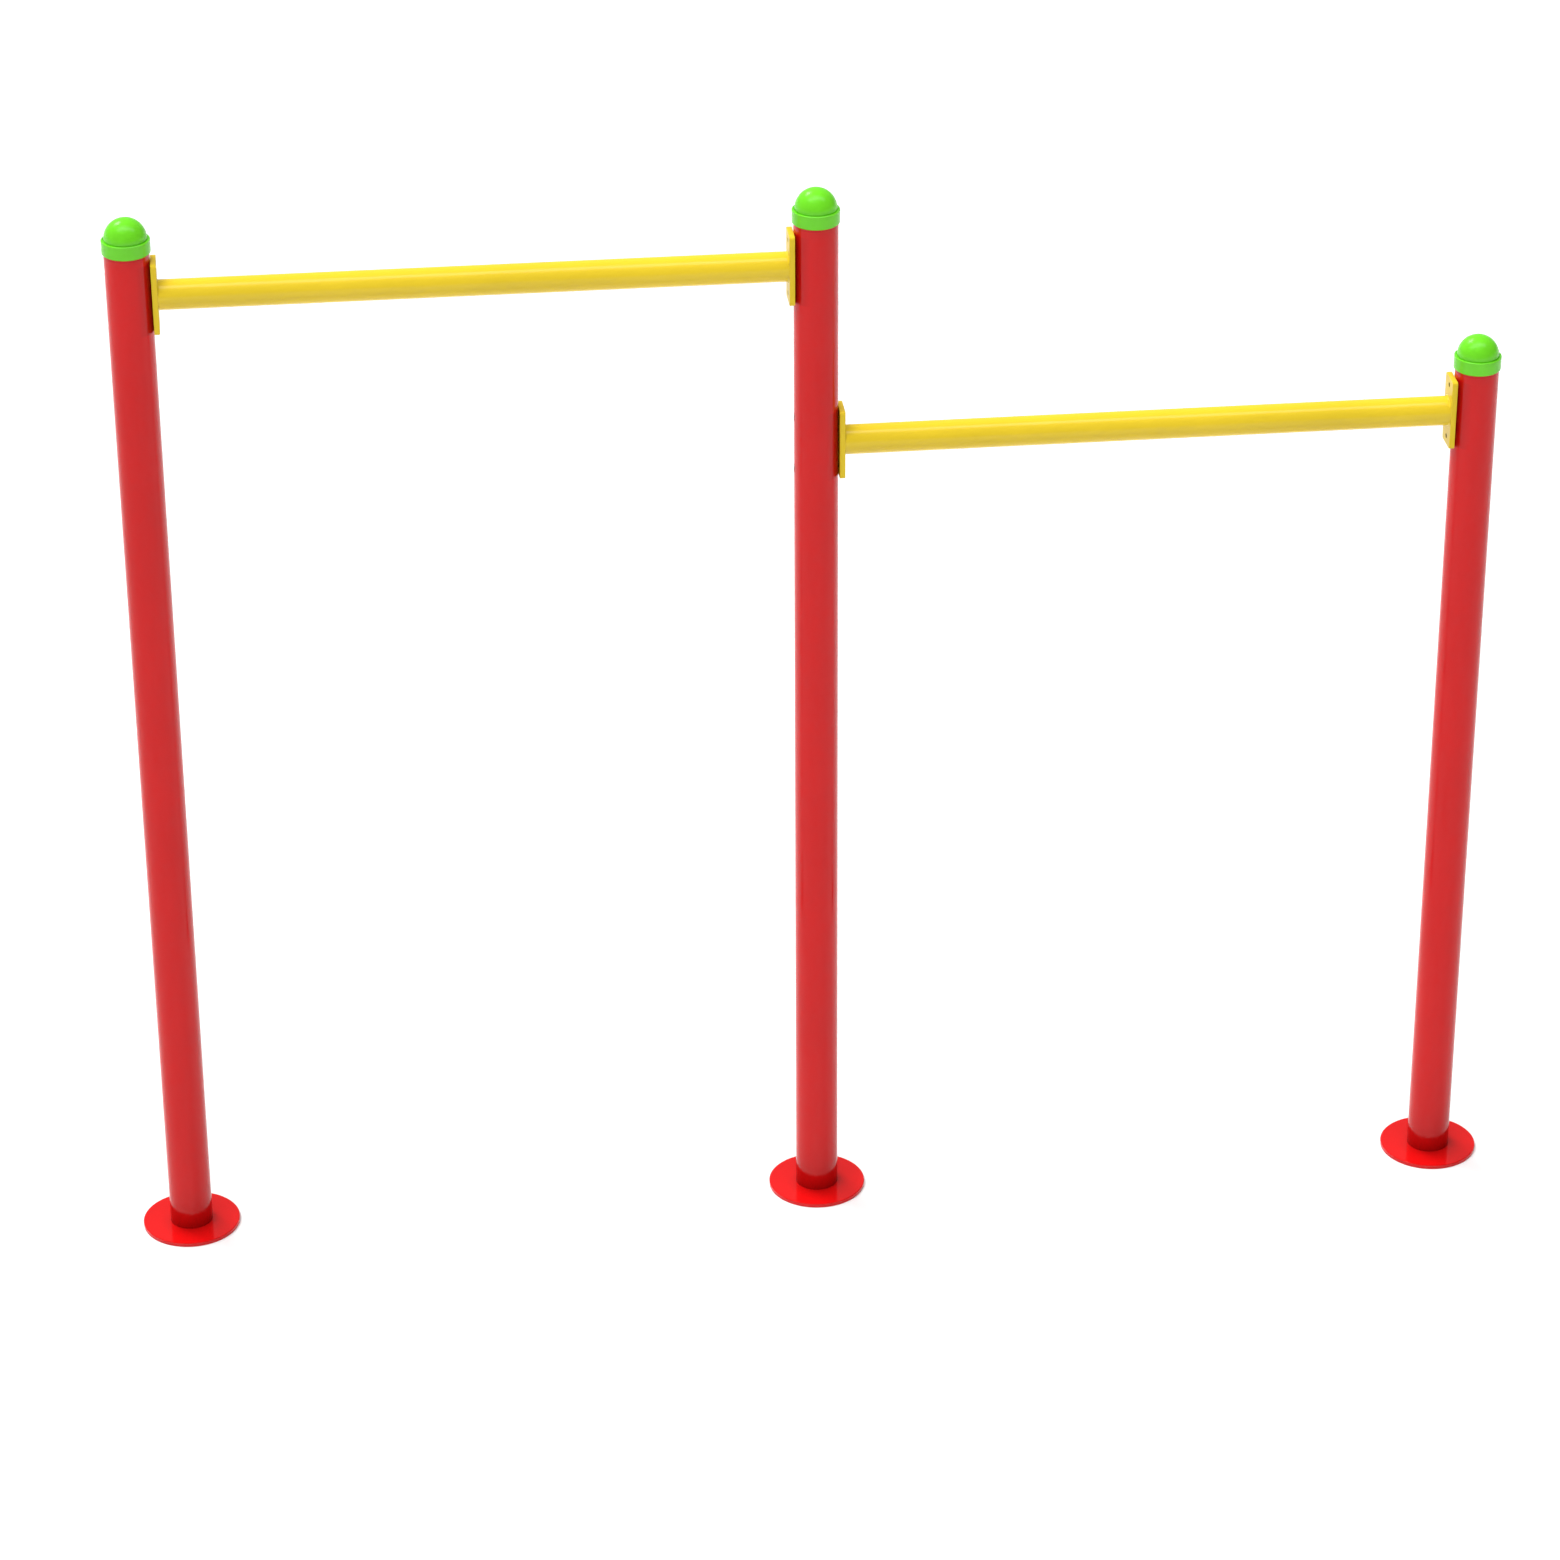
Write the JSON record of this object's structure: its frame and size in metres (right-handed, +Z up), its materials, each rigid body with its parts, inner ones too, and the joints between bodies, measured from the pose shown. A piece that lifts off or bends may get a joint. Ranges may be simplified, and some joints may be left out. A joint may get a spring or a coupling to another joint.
{
  "type": "uneven parallel bars",
  "caption": "Outdoor uneven bars: round steel posts on flat disc feet carry a high and a lower horizontal grip bar between them for hanging, swinging and chin-ups.",
  "frame": {"origin": "on the ground at the centre of the middle post", "axes": "+X runs along the row of posts towards the short post, +Y points to the far side of the row as seen in the picture, +Z is up"},
  "size_m": [2.88, 0.204, 2.2801],
  "materials": {
    "post_red": "glossy red powder coat on steel tube",
    "foot_red": "glossy red powder coat on steel plate",
    "bar_yellow": "glossy yellow powder coat on steel",
    "cap_green": "glossy moulded plastic",
    "spacer_steel": "zinc plated steel tube",
    "bolt_steel": "black oxide on steel"
  },
  "bodies": {
    "root": {"left_post": "post_red", "left_foot_disc": "foot_red", "left_foot_weld": "foot_red", "left_post_cap": "cap_green", "middle_post": "post_red", "middle_foot_disc": "foot_red", "middle_foot_weld": "foot_red", "middle_post_cap": "cap_green", "right_post": "post_red", "right_foot_disc": "foot_red", "right_foot_weld": "foot_red", "right_post_cap": "cap_green", "upper_bar": "bar_yellow", "lower_bar": "bar_yellow", "upper_bar_left_plate": "bar_yellow", "upper_bar_left_weld": "bar_yellow", "upper_bar_left_spacers": "spacer_steel", "upper_bar_left_bolts": "bolt_steel", "upper_bar_right_plate": "bar_yellow", "upper_bar_right_weld": "bar_yellow", "upper_bar_right_spacers": "spacer_steel", "upper_bar_right_bolts": "bolt_steel", "lower_bar_left_plate": "bar_yellow", "lower_bar_left_weld": "bar_yellow", "lower_bar_left_spacers": "spacer_steel", "lower_bar_left_bolts": "bolt_steel", "lower_bar_right_plate": "bar_yellow", "lower_bar_right_weld": "bar_yellow", "lower_bar_right_spacers": "spacer_steel", "lower_bar_right_bolts": "bolt_steel"}
  },
  "joints": []
}
